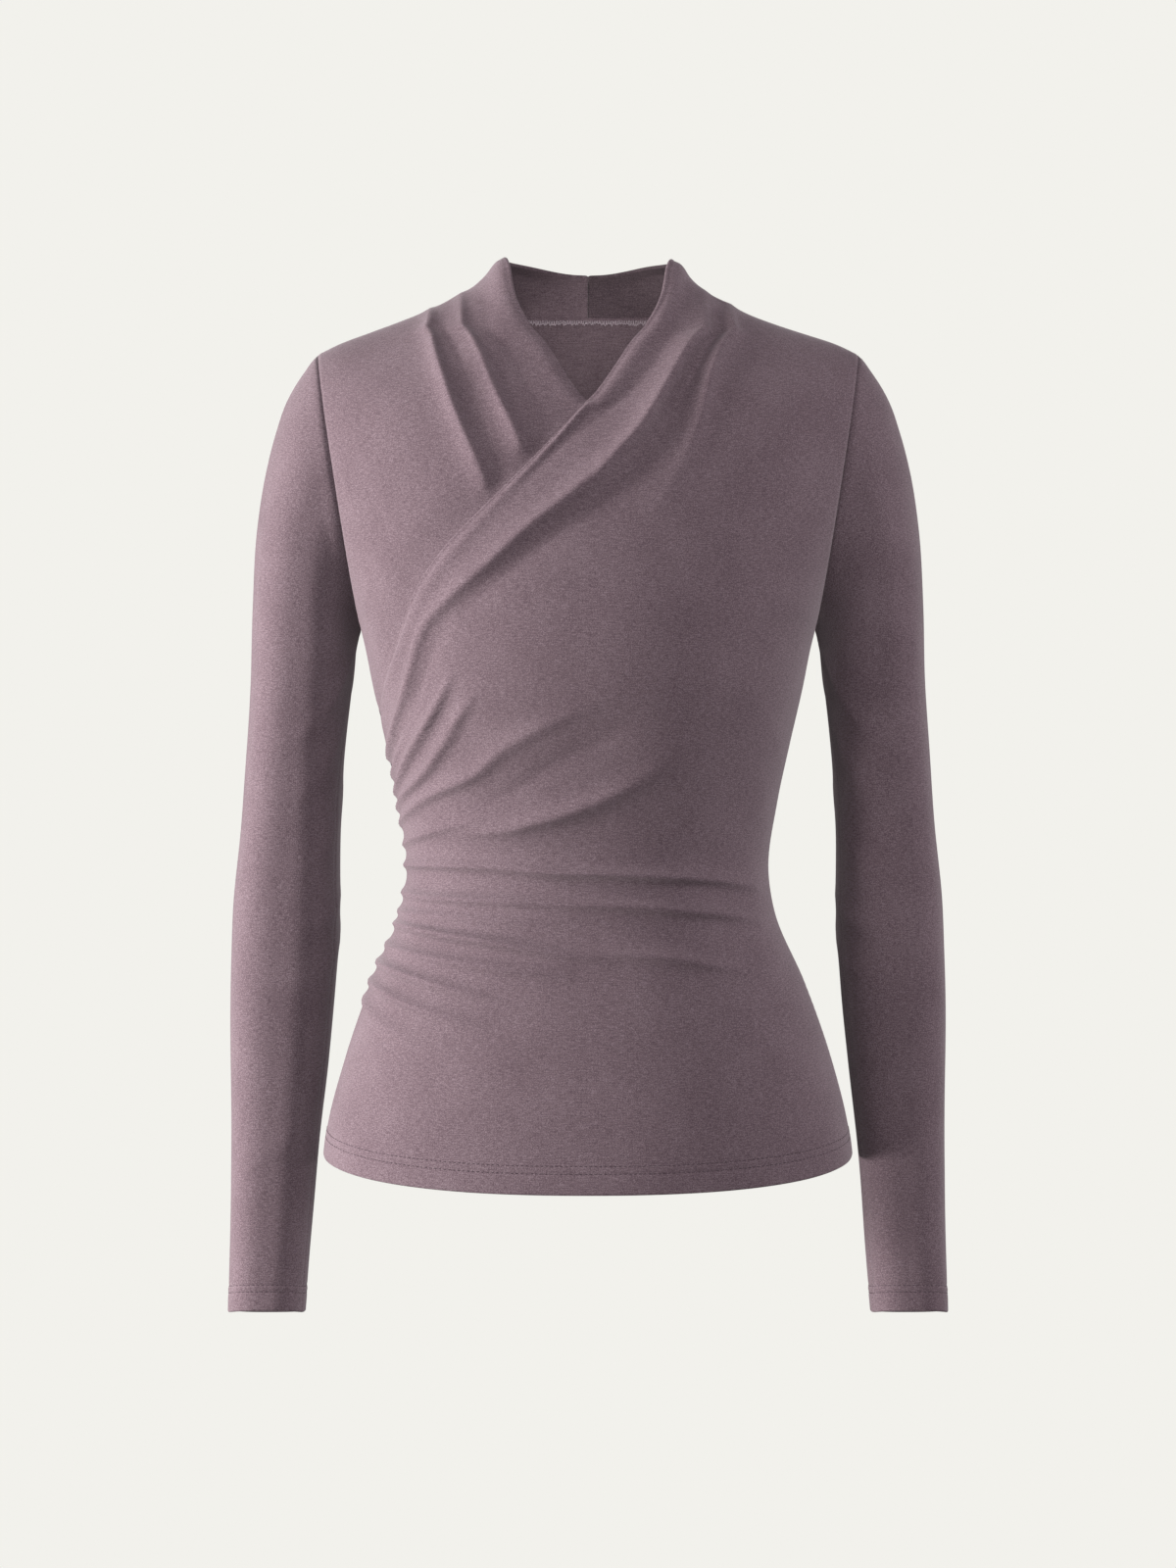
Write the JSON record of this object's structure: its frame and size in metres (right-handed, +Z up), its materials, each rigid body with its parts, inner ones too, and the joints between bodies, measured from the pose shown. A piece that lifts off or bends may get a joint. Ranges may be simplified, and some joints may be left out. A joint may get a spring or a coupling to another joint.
{
  "type": "wrap top",
  "caption": "Fitted long-sleeved wrap top with a pleated crossover V neck, ruched side seam and flared hem, hollow and filled out as when worn.",
  "frame": {"origin": "midway between the two points where the shoulders meet the neck of the wearer, on the ridge of the shoulders", "axes": "+Z up, +X to the wearer's left, +Y to the wearer's back"},
  "size_m": [0.47, 0.2335, 0.6874],
  "materials": {
    "jersey": "brushed, matte with a soft nap"
  },
  "bodies": {
    "root": {"front_over": "jersey", "front_under": "jersey", "back": "jersey", "sleeve_left": "jersey", "sleeve_right": "jersey"}
  },
  "joints": []
}
